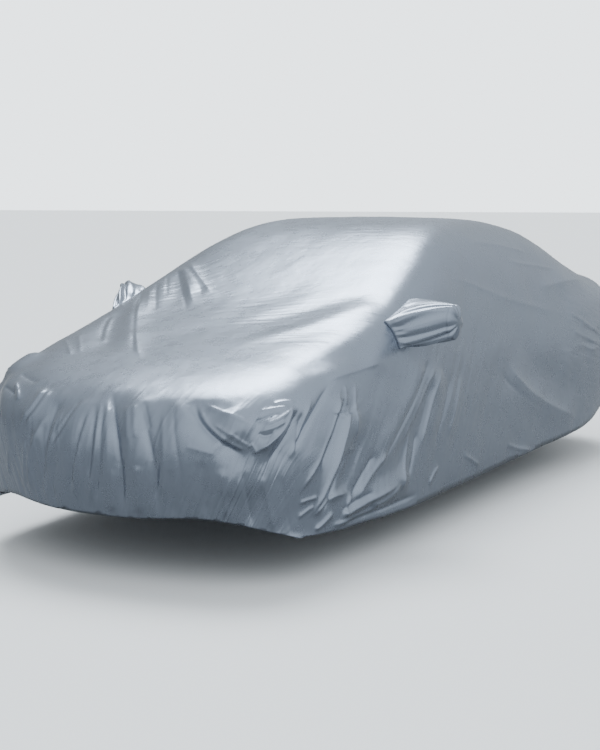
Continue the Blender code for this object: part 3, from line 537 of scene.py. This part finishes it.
ROOF_SEAT = roof_seat()
GROUND = -ROOF_SEAT[2]
SOLID_STATIONS = (len(SECTIONS) - 1) * np.linspace(0, 1, SOLID_STATION_CELLS + 1) ** NOSE_CROWDING
SOLID_LINES = np.linspace(0, LAST_LINE, SOLID_LINE_CELLS + 1)


def nearest_stops(stops, limits):
    """The solid grid's stops nearest to the two limits, on which a seam lies."""
    return [float(stops[np.argmin(abs(stops - limit))]) for limit in limits]


def grid_stops(table, seams):
    """Stops of the fine grid: each row of the table gives where a stretch ends and its cells."""
    seams = iter(seams)
    stops = [0.0]
    for end, cells in table:
        end = next(seams) if end == "seam" else end
        stops += list(np.linspace(stops[-1], end, cells + 1)[1:])
    return np.array(stops)


ALL_FOLDS = rows_of(FOLD_COLUMNS, MAIN_FOLDS)
ALL_CREASES = rows_of(CREASE_COLUMNS, CREASES)
ALL_CREASES += [other_side(crease) for crease in ALL_CREASES
                if crease["name"].split()[0] in MIRRORED_GROUPS]
LEFT_POUCH, RIGHT_POUCH = rows_of(POUCH_COLUMNS, POUCHES)
for pouch in (LEFT_POUCH, RIGHT_POUCH):
    pouch["stations"] = nearest_stops(SOLID_STATIONS, pouch["stations"])
    pouch["lines"] = nearest_stops(SOLID_LINES, pouch["lines"])
STATION_STOPS = grid_stops(STATION_GRID, LEFT_POUCH["stations"])
LINE_STOPS = grid_stops(LINE_GRID, LEFT_POUCH["lines"] + RIGHT_POUCH["lines"])


def cloth_lengths():
    """Length of cloth up to each station along the middle, and up to each line round the roof."""
    stations = np.linspace(0, len(SECTIONS) - 1, LENGTH_SAMPLES)
    lines = np.linspace(0, LAST_LINE, LENGTH_SAMPLES)
    spine = form_points(stations, np.full(LENGTH_SAMPLES, float(MIDDLE_LINE)))
    girth = form_points(np.full(LENGTH_SAMPLES, float(ROOF_STATION)), lines)
    along = np.concatenate([[0], np.cumsum(np.linalg.norm(np.diff(spine, axis=0), axis=1))])
    across = np.concatenate([[0], np.cumsum(np.linalg.norm(np.diff(girth, axis=0), axis=1))])
    return (stations, along), (lines, across)


ALONG_MIDDLE, ROUND_ROOF = cloth_lengths()


def flat_places(stations, lines):
    """Where stations and lines lie on the flat cloth, in metres along and across it."""
    return np.interp(stations, *ALONG_MIDDLE), np.interp(lines, *ROUND_ROOF)


def hollow_height(hollow, along, across):
    """Height of one kind of random hollow at a place on the flat cloth."""
    place = Vector((along / hollow["along"], across / hollow["across"], hollow["layer"]))
    return (noise.noise(place) + HOLLOW_DETAIL * noise.noise(place * hollow["finer"])) * hollow["height"]


def soft_hollows(stations, lines, normals):
    """Small random hollows: long ones where the cloth hangs, and rounder ones where it lies."""
    flat = smooth((normals[:, 2] - LYING_FROM) / LYING_RISE)
    places = np.stack(flat_places(stations, lines), 1)
    hanging, lying = (np.array([hollow_height(hollow, *place) for place in places])
                      for hollow in rows_of(HOLLOW_COLUMNS, HOLLOWS))
    return hanging * (1 - flat) + lying * flat


def cloth_points(stations, lines):
    """Points of the cloth's outer face, with all its folds, in the part's frame."""
    points = form_points(stations, lines)
    normals = form_normals(stations, lines)
    lift = lift_by(ALL_FOLDS, round_profile, points, normals)
    lift += lift_by(ALL_CREASES, crest_profile, points, normals)
    lift += soft_hollows(stations, lines, normals)
    return points + normals * lift[:, None] - ROOF_SEAT


def hemmed_points(columns, rows):
    """Points of the cloth for places on the flat grid. Those past its edge make the turned hem."""
    stations, lines = cloth_places(columns, rows)
    past_side, side_way = past_edge(columns, LINE_STOPS)
    past_end, end_way = past_edge(rows, STATION_STOPS)
    edge, inward = form_points(stations, lines), form_normals(stations, lines)
    side_step = form_points(stations, lines + side_way * NORMAL_STEP) - edge
    end_step = form_points(stations + end_way * NORMAL_STEP, lines) - edge
    turned = np.clip(np.maximum(past_side, past_end) - 1, 0, 1) * HEM_WIDTH * NORMAL_STEP
    lines = lines + np.where(past_side > 0, side_way, 0) * turned / np.linalg.norm(side_step, axis=1)
    stations = stations + np.where(past_end > 0, end_way, 0) * turned / np.linalg.norm(end_step, axis=1)
    gap = np.clip(np.maximum(past_side, past_end), 0, 1) * HEM_GAP
    return cloth_points(stations, lines) - inward * gap[:, None]


# ---------------------------------------------------------------------------------------------------
# Shader maths


class Socket:
    """A shader value: arithmetic on it adds the Math nodes that work it out."""

    def __init__(self, tree, link):
        self.tree = tree
        self.link = link

    def math(self, operation, *others):
        maths = self.tree.nodes.new("ShaderNodeMath")
        maths.operation = operation
        for socket, value in zip(maths.inputs, (self, *others)):
            plug(self.tree, socket, value)
        return Socket(self.tree, maths.outputs[0])

    def __add__(self, other):
        return self.math("ADD", other)

    def __mul__(self, other):
        return self.math("MULTIPLY", other)

    def __sub__(self, other):
        return self.math("SUBTRACT", other)

    def __rsub__(self, other):
        return (self * -1.0).math("ADD", other)

    __radd__ = __add__
    __rmul__ = __mul__

    def clamped(self):
        return self.math("MAXIMUM", 0.0).math("MINIMUM", 1.0)


def plug(tree, socket, value):
    """Give a node's input a value or a link."""
    if isinstance(value, Socket):
        tree.links.new(value.link, socket)
    else:
        socket.default_value = value


def fill(tree, target, inputs):
    """Give a node's named inputs their values or links."""
    for name, value in inputs.items():
        plug(tree, target.inputs[name.replace("_", " ")], value)


def node(tree, kind, output=0, settings=None, **inputs):
    """Add a node, set it up and fill its sockets, and hand back one of its outputs."""
    added = tree.nodes.new(kind)
    for name, value in (settings or {}).items():
        setattr(added, name, value)
    fill(tree, added, inputs)
    return Socket(tree, added.outputs[output])


def noise_pattern(tree, place, values):
    """A noise texture's value at a place."""
    return node(tree, "ShaderNodeTexNoise", "Fac", Vector=place, **dict(zip(NOISE_COLUMNS, values)))


def mixed_colour(tree, factor, first, second):
    """The first colour where the factor is 0 and the second where it is 1."""
    mixed = node(tree, "ShaderNodeMix", MIX_RESULT, {"data_type": "RGBA"}, Factor=factor)
    for index, colour in zip(MIX_COLOURS, (first, second)):
        mixed.link.node.inputs[index].default_value = colour
    return mixed


def new_material(name):
    """A plain material, its node tree and its shader."""
    material = bpy.data.materials.new(name)
    material.use_nodes = True
    return material, material.node_tree, material.node_tree.nodes["Principled BSDF"]


def streak_height(tree, place, streak):
    """Height of one patch of fine, nearly parallel creases on the flat cloth, fading out at its edge."""
    middle = (*map(float, flat_places(*streak["middle"])), 0.0)
    texture = {"vector_type": "TEXTURE"}
    turned = node(tree, "ShaderNodeMapping", "Vector", texture, Vector=place, Location=middle,
                  Rotation=(0.0, 0.0, math.radians(streak["angle"])),
                  Scale=(streak["length"], streak["width"], 1.0))
    away = noise_pattern(tree, turned, STREAK_WAVES) * 2.0 - 1.0
    ridges = 1.0 - (away * away + RIDGE_ROUNDING).math("SQRT")
    centred = node(tree, "ShaderNodeMapping", "Vector", texture, Vector=place, Location=middle,
                   Scale=(*streak["reach"], 1.0))
    patch = node(tree, "ShaderNodeTexGradient", "Fac", {"gradient_type": "SPHERICAL"}, Vector=centred)
    return ridges * patch * streak["height"]


def cloth_material(name, look):
    """Silver coated cloth: satin, softly crumpled, with patches of fine creases."""
    material, tree, shader = new_material(name)
    place = node(tree, "ShaderNodeTexCoord", "Object")
    flat_place = node(tree, "ShaderNodeUVMap", settings={"uv_map": "cloth"})

    drift, mottle = noise_pattern(tree, place, DRIFT), noise_pattern(tree, place, MOTTLE)
    shade = (drift * DRIFT_SHARE + mottle * MOTTLE_SHARE).clamped()
    dark, light = ([min(1.0, channel * tone) for channel in look.colour[:3]] + [1.0] for tone in TONES)
    roughness = look.roughness - SMOOTHER + mottle * ROUGHER

    height = noise_pattern(tree, place, RIPPLE) * RIPPLE_HEIGHT
    height = height + noise_pattern(tree, place, CRUMPLE) * CRUMPLE_HEIGHT
    for streak in rows_of(STREAK_COLUMNS, STREAKS):
        height = height + streak_height(tree, flat_place, streak)
    bump = node(tree, "ShaderNodeBump", Strength=1.0, Distance=1.0, Height=height)
    fill(tree, shader, {"Base Color": mixed_colour(tree, shade, dark, light), "Roughness": roughness,
                        "Metallic": look.metallic, "Normal": bump, **SHEEN})
    return material


# ---------------------------------------------------------------------------------------------------
# Modelling


def select_only(piece):
    """Make one object the only selected one, and the active one."""
    bpy.ops.object.select_all(action="DESELECT")
    piece.select_set(True)
    bpy.context.view_layer.objects.active = piece


def flat_grid(name, columns, rows):
    """A flat grid whose cells are 1 by 1, from corner (0, 0) to (columns, rows)."""
    bpy.ops.object.select_all(action="DESELECT")
    bpy.ops.mesh.primitive_grid_add(x_subdivisions=columns, y_subdivisions=rows, size=1,
                                    location=(0.5, 0.5, 0), enter_editmode=False)
    grid = bpy.context.object
    grid.name = name
    grid.data.transform(Matrix.Diagonal((columns, rows, 1, 1)) @ grid.matrix_world)
    grid.matrix_world = Matrix.Identity(4)
    return grid


def cell_middles(grid):
    """The middle of each of the flat grid's cells, in cells."""
    middles = np.empty(len(grid.data.polygons) * 3)
    grid.data.polygons.foreach_get("center", middles)
    return middles.reshape(-1, 3)[:, :2].T


def cloth_places(columns, rows):
    """Stations and lines at places on the flat grid. Past the cloth's edge they stay on the edge."""
    station = np.interp(rows - HEM_CELLS, np.arange(len(STATION_STOPS)), STATION_STOPS)
    line = np.interp(columns - HEM_CELLS, np.arange(len(LINE_STOPS)), LINE_STOPS)
    return station, line


def past_edge(places, stops):
    """How many cells a place lies past the cloth's edge, and which way the cloth is from there."""
    low, high = HEM_CELLS - places, places - HEM_CELLS - (len(stops) - 1)
    return np.maximum(np.maximum(low, high), 0), np.where(low > high, 1.0, -1.0)


def select_cells(grid, chosen):
    """Go to edit mode with only the chosen cells selected."""
    select_only(grid)
    bpy.ops.object.mode_set(mode="EDIT")
    bpy.ops.mesh.select_mode(type="FACE")
    bpy.ops.mesh.select_all(action="DESELECT")
    bpy.ops.object.mode_set(mode="OBJECT")
    grid.data.polygons.foreach_set("select", chosen)
    bpy.ops.object.mode_set(mode="EDIT")


def cut_openings(grid):
    """Delete the flat grid's cells inside each pouch's opening, and its four corners past the hem."""
    columns, rows = cell_middles(grid)
    stations, lines = cloth_places(columns, rows)
    cut = (past_edge(columns, LINE_STOPS)[0] > 0) & (past_edge(rows, STATION_STOPS)[0] > 0)
    for pouch in (LEFT_POUCH, RIGHT_POUCH):
        first, last = pouch["stations"]
        low, high = pouch["lines"]
        cut |= (stations > first) & (stations < last) & (lines > low) & (lines < high)
    select_cells(grid, cut)
    bpy.ops.mesh.delete(type="FACE")
    bpy.ops.object.mode_set(mode="OBJECT")


def refine_near_creases(grid):
    """Split the cells close to creases into four, and the closest ones into four again."""
    for reach, margin in zip(REFINE_REACH, REFINE_MARGIN):
        stations, lines = cloth_places(*cell_middles(grid))
        points, normals = form_points(stations, lines), form_normals(stations, lines)
        close = np.zeros(len(points), bool)
        for crease in ALL_CREASES:
            path, limit = fold_path(crease), reach * crease["width"] + margin
            near = near_path(points, path, limit)
            distance = nearest_on_path(points[near], normals[near], path)[0]
            close[near] |= abs(distance) < limit
        select_cells(grid, close)
        bpy.ops.mesh.subdivide(number_cuts=1)
        bpy.ops.object.mode_set(mode="OBJECT")


def thicken(piece, thickness):
    """Give an open sheet its thickness inwards and apply it."""
    select_only(piece)
    wall = piece.modifiers.new("thickness", "SOLIDIFY")
    wall.thickness = thickness
    wall.offset = -1
    bpy.ops.object.modifier_apply(modifier=wall.name)
    bpy.ops.object.shade_smooth()


def write_cloth_map(piece, u, v):
    """Store each corner's place on the flat cloth, in metres, as a UV map."""
    layer = piece.data.uv_layers.new(name="cloth")
    corners = np.empty(len(piece.data.loops), int)
    piece.data.loops.foreach_get("vertex_index", corners)
    layer.data.foreach_set("uv", np.stack([u[corners], v[corners]], 1).reshape(-1))


def bilinear(patch, row_at, column_at):
    """Points of a patch at fractional rows and columns."""
    row = np.clip(np.floor(row_at).astype(int), 0, patch.shape[0] - 2)
    column = np.clip(np.floor(column_at).astype(int), 0, patch.shape[1] - 2)
    u, v = (row_at - row)[..., None], (column_at - column)[..., None]
    return ((1 - u) * (1 - v) * patch[row, column] + u * (1 - v) * patch[row + 1, column]
            + (1 - u) * v * patch[row, column + 1] + u * v * patch[row + 1, column + 1])


def opening_patch(pouch):
    """The uncut cloth over one opening: its outer points and its normals, in a (station, line) grid."""
    rows, columns = np.linspace(*pouch["stations"], POUCH_ROWS), np.linspace(*pouch["lines"], POUCH_ROWS)
    stations, lines = (places.ravel() for places in np.meshgrid(rows, columns, indexing="ij"))
    shape = (POUCH_ROWS, POUCH_ROWS, 3)
    return cloth_points(stations, lines).reshape(shape), form_normals(stations, lines).reshape(shape)


def pouch_fold_heights(turn, wall, dome):
    """How far folds lift a pouch's cloth, at a turn round it and a share of the way along its wall."""
    turn = np.degrees(turn)
    lift = PLEAT_HEIGHT * np.cos(np.radians(turn) * NECK_PLEATS) * (1 - smooth(wall / PLEAT_REACH))
    for fold in rows_of(POUCH_FOLD_COLUMNS, POUCH_FOLDS):
        crest = fold["turn_at_neck"] + (fold["turn_at_end"] - fold["turn_at_neck"]) * wall
        away = (turn - crest + 180) % 360 - 180
        lift += fold["height"] * np.exp(-(away / fold["width"]) ** 2)
    return lift * smooth(wall / POUCH_FOLD_RISE) * np.cos(dome)


def pouch_points(pouch):
    """Points of a pouch's outer face, from its seam in the sheet to its blunt outer end."""
    patch, facing = opening_patch(pouch)
    span = np.linspace(-1, 1, POUCH_ROWS)
    a, b = np.meshgrid(span, span, indexing="ij")
    depth = 1 - np.maximum(abs(a), abs(b))          # 0 on the seam and 1 at the end's middle
    ring = 2 / (POUCH_ROWS - 1)                     # depth of the first ring of cells
    side = np.sign(patch[..., 0].mean())

    scale = 1 / np.maximum(1 - depth, ring)
    at_row, at_column = ((np.clip(way * scale, -1, 1) + 1) / 2 * (POUCH_ROWS - 1) for way in (a, b))
    edge, out = bilinear(patch, at_row, at_column), bilinear(facing, at_row, at_column)
    inward = patch.mean(axis=(0, 1)) - edge
    inward -= out * (inward * out).sum(axis=2)[..., None]
    inward /= np.linalg.norm(inward, axis=2)[..., None] + TINY
    risen = np.clip(depth / ring, 0, 1)[..., None]
    neck = edge + inward * SEAM_INSET + out * (risen * (SHEET_THICKNESS + NECK_HEIGHT) - SHEET_THICKNESS)

    turn = np.arctan2(b, a)
    fullness = np.maximum(abs(np.cos(turn)), abs(np.sin(turn))) ** -CORNER_FULLNESS
    across = np.stack([0 * turn, fullness * np.cos(turn), side * fullness * np.sin(turn)], 2)
    across *= (0, pouch["half_depth"], pouch["half_height"])
    end = np.array(pouch["end"]) - ROOF_SEAT
    wall = np.clip((depth - ring) / (WALL_SHARE - ring), 0, 1)[..., None]
    dome = np.clip((depth - WALL_SHARE) / (1 - WALL_SHARE), 0, 1)[..., None] * np.pi / 2
    rim = end + across * np.cos(dome) + np.array((side * END_DOME, 0, 0)) * np.sin(dome)
    outward = across / np.linalg.norm(across, axis=2)[..., None]
    swell = outward * np.sin(np.pi * wall) * WALL_BULGE
    raised = outward * np.cos(dome) + np.array((side, 0, 0)) * np.sin(dome)
    creased = raised * pouch_fold_heights(turn, wall[..., 0], dome[..., 0])[..., None]
    return neck * (1 - wall) + rim * wall + swell + creased


# ---------------------------------------------------------------------------------------------------
# The add-on


class CoverLook(PropertyGroup):
    """Finish of the cloth"""
    colour: FloatVectorProperty(name="Cloth colour", description="Colour of the silver coating",
                                subtype="COLOR", size=4, min=0, max=1,
                                default=(0.27, 0.305, 0.37, 1.0))
    roughness: FloatProperty(name="Roughness", description="How matt the coating is",
                             default=0.28, min=0, max=1)
    metallic: FloatProperty(name="Metallic", description="Share of silver pigment in the coating",
                            default=0.8, min=0, max=1)


class StudioLook(PropertyGroup):
    """Floor, dome and camera"""
    floor_colour: FloatVectorProperty(name="Floor colour", description="Colour of the studio floor",
                                      subtype="COLOR", size=4, min=0, max=1,
                                      default=(0.9, 0.9, 0.9, 1.0))
    floor_bounce: FloatProperty(name="Floor bounce", default=0.25, min=0, max=1,
                                description="Share of the floor's light that reaches the cloth")
    dome_colour: FloatVectorProperty(name="Dome colour", description="Colour of the studio's soft light",
                                     subtype="COLOR", size=4, min=0, max=1,
                                     default=(0.88, 0.95, 1.0, 1.0))
    zenith_light: FloatProperty(name="Overhead light", description="Strength of the dome overhead",
                                default=1.1)
    horizon_light: FloatProperty(name="Horizon light", description="Strength of the dome low down",
                                 default=0.75)
    side_tilt: FloatProperty(name="Side tilt", default=0.60,
                             description="How much brighter the dome is to the car's left")
    front_tilt: FloatProperty(name="Front tilt", default=0.25,
                              description="How much brighter the dome is before the car")
    softbox_place: FloatVectorProperty(name="Softbox place", subtype="XYZ", size=3,
                                       default=(-0.28, 0.46, 0.85),
                                       description="Direction of the dome's bright patch")
    softbox_light: FloatProperty(name="Softbox light", description="Strength of the dome's bright patch",
                                 default=20.0)
    backdrop_light: FloatProperty(name="Backdrop", description="Brightness of the backdrop", default=3.0)
    camera_place: FloatVectorProperty(name="Camera place", description="Where the camera stands",
                                      subtype="TRANSLATION", unit="LENGTH", size=3,
                                      default=(np.array(CAMERA_PLACE) - ROOF_SEAT).tolist())
    camera_yaw: FloatProperty(name="Camera yaw", subtype="ANGLE", default=math.radians(31.53),
                              description="Turn of the view from straight along the car")
    camera_pitch: FloatProperty(name="Camera pitch", description="How far the camera looks down",
                                subtype="ANGLE", default=math.radians(7.62))
    camera_roll: FloatProperty(name="Camera roll", description="Tilt of the camera about its own axis",
                               subtype="ANGLE", default=math.radians(-0.49))
    lens: FloatProperty(name="Lens", description="Focal length for a frame 36 mm high, in millimetres",
                        default=69.7, min=10, max=300)


class COVER_OT_sheet(Operator):
    """Lay the main sheet of the cover, with its folds, creases and hem"""
    bl_idname = "car_cover.sheet"
    bl_label = "Cover sheet"

    def execute(self, context):
        look = context.scene.cover_look
        sheet = flat_grid("cover_cloth_sheet", len(LINE_STOPS) - 1 + 2 * HEM_CELLS,
                          len(STATION_STOPS) - 1 + 2 * HEM_CELLS)
        cut_openings(sheet)
        refine_near_creases(sheet)
        places = np.empty(len(sheet.data.vertices) * 3)
        sheet.data.vertices.foreach_get("co", places)
        columns, rows = places.reshape(-1, 3)[:, :2].T
        stations, lines = cloth_places(columns, rows)
        sheet.data.vertices.foreach_set("co", hemmed_points(columns, rows).reshape(-1))
        write_cloth_map(sheet, *flat_places(stations, lines))
        sheet.data.flip_normals()
        sheet.data.update()
        bpy.ops.object.shade_smooth()
        sheet.data.materials.append(cloth_material("coated_cloth_satin", look))
        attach(sheet, BODY)
        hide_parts("cover_sheet")
        return {"FINISHED"}


class COVER_OT_pouches(Operator):
    """Sew a pouch over each door mirror"""
    bl_idname = "car_cover.pouches"
    bl_label = "Mirror pouches"

    def execute(self, context):
        look = context.scene.cover_look
        material = cloth_material("pouch_cloth_satin", look)
        for pouch in (LEFT_POUCH, RIGHT_POUCH):
            piece = flat_grid(pouch["name"] + "_cloth", POUCH_ROWS - 1, POUCH_ROWS - 1)
            piece.data.vertices.foreach_set("co", pouch_points(pouch).reshape(-1))
            span = np.linspace(0, POUCH_MAP_SIZE, POUCH_ROWS)
            u, v = np.meshgrid(span, span, indexing="ij")
            write_cloth_map(piece, u.ravel(), v.ravel())
            piece.data.flip_normals()
            piece.data.update()
            thicken(piece, POUCH_THICKNESS)
            piece.data.materials.append(material)
            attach(piece, BODY)
            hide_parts(pouch["name"])
        return {"FINISHED"}


def look_matrix(place, yaw, pitch, roll):
    """Where a camera stands and how it is turned. Yaw 0 looks along +Y."""
    back = Vector((math.sin(yaw) * math.cos(pitch), -math.cos(yaw) * math.cos(pitch), math.sin(pitch)))
    right = (-back).cross(Vector((0, 0, 1))).normalized()
    up = back.cross(right)
    turned_right = right * math.cos(roll) + up * math.sin(roll)
    turned_up = up * math.cos(roll) - right * math.sin(roll)
    turn = Matrix((turned_right, turned_up, back)).transposed().to_4x4()
    return Matrix.Translation(Vector(place)) @ turn


def floor_paint(studio):
    """Pale matt paint, which looks pale to the camera and bounces less light up under the cloth."""
    paint, tree, shader = new_material("studio_floor_paint")
    seen = node(tree, "ShaderNodeLightPath", "Is Camera Ray")
    dim = [channel * studio.floor_bounce for channel in studio.floor_colour]
    tone = mixed_colour(tree, seen, dim, studio.floor_colour)
    fill(tree, shader, {"Base Color": tone, **FLOOR_FINISH})
    return paint


def soft_dome(studio):
    """A studio dome: brightest overhead and dim along the horizon, with a pale backdrop."""
    world = bpy.data.worlds.new("studio_dome")
    world.use_nodes = True
    tree = world.node_tree
    direction = node(tree, "ShaderNodeTexCoord", "Generated")
    split = node(tree, "ShaderNodeSeparateXYZ", Vector=direction).link.node
    x, y, z = (Socket(tree, output) for output in split.outputs)
    step = {"interpolation_type": "SMOOTHSTEP"}
    rise = node(tree, "ShaderNodeMapRange", settings=step, Value=z,
                From_Min=0.0, From_Max=DOME_RISE, To_Min=studio.horizon_light, To_Max=studio.zenith_light)
    facing = Vector(studio.softbox_place).normalized()
    towards = x * facing.x + y * facing.y + z * facing.z
    glow = node(tree, "ShaderNodeMapRange", settings=step, Value=towards,
                From_Min=SOFTBOX_EDGE, From_Max=1.0, To_Min=0.0, To_Max=studio.softbox_light)
    seen = node(tree, "ShaderNodeLightPath", "Is Camera Ray")
    tilt = x * studio.side_tilt - y * studio.front_tilt + 1.0
    strength = (rise * tilt + glow) * (1 - seen) + seen * studio.backdrop_light
    fill(tree, tree.nodes["Background"], {"Strength": strength, "Color": studio.dome_colour})
    return world


class COVER_OT_stage(Operator):
    """Add the studio floor, the soft dome and the camera"""
    bl_idname = "car_cover.stage"
    bl_label = "Studio"

    def execute(self, context):
        studio = context.scene.cover_studio
        bpy.ops.object.select_all(action="DESELECT")
        bpy.ops.mesh.primitive_plane_add(size=FLOOR_SIZE, location=(0, 0, GROUND))
        floor = context.object
        floor.name = "studio_floor"
        floor.data.materials.append(floor_paint(studio))
        context.scene.world = soft_dome(studio)

        data = bpy.data.cameras.new("camera")
        data.sensor_fit = "VERTICAL"
        data.sensor_height = FRAME_HEIGHT
        data.lens = studio.lens
        data.clip_end = CLIP_END
        camera = bpy.data.objects.new("camera", data)
        context.scene.collection.objects.link(camera)
        camera.matrix_world = look_matrix(studio.camera_place, studio.camera_yaw, studio.camera_pitch,
                                          studio.camera_roll)
        context.scene.camera = camera
        return {"FINISHED"}


class COVER_PT_panel(Panel):
    """Builds the pieces of the cover and shows the settings of its looks"""
    bl_label = "Car Cover"
    bl_idname = "COVER_PT_panel"
    bl_space_type = "VIEW_3D"
    bl_region_type = "UI"
    bl_category = "Car Cover"

    def draw(self, context):
        for operator in (COVER_OT_sheet, COVER_OT_pouches, COVER_OT_stage):
            self.layout.operator(operator.bl_idname)
        for group in (context.scene.cover_look, context.scene.cover_studio):
            for name in group.__annotations__:
                self.layout.prop(group, name)


CLASSES = (CoverLook, StudioLook, COVER_OT_sheet, COVER_OT_pouches, COVER_OT_stage, COVER_PT_panel)


def register():
    for item in CLASSES:
        bpy.utils.register_class(item)
    bpy.types.Scene.cover_look = PointerProperty(type=CoverLook)
    bpy.types.Scene.cover_studio = PointerProperty(type=StudioLook)


def unregister():
    del bpy.types.Scene.cover_studio
    del bpy.types.Scene.cover_look
    for item in reversed(CLASSES):
        bpy.utils.unregister_class(item)


def main():
    register()
    bpy.ops.car_cover.stage()
    bpy.ops.car_cover.sheet()
    bpy.ops.car_cover.pouches()


if __name__ == "__main__":
    main()
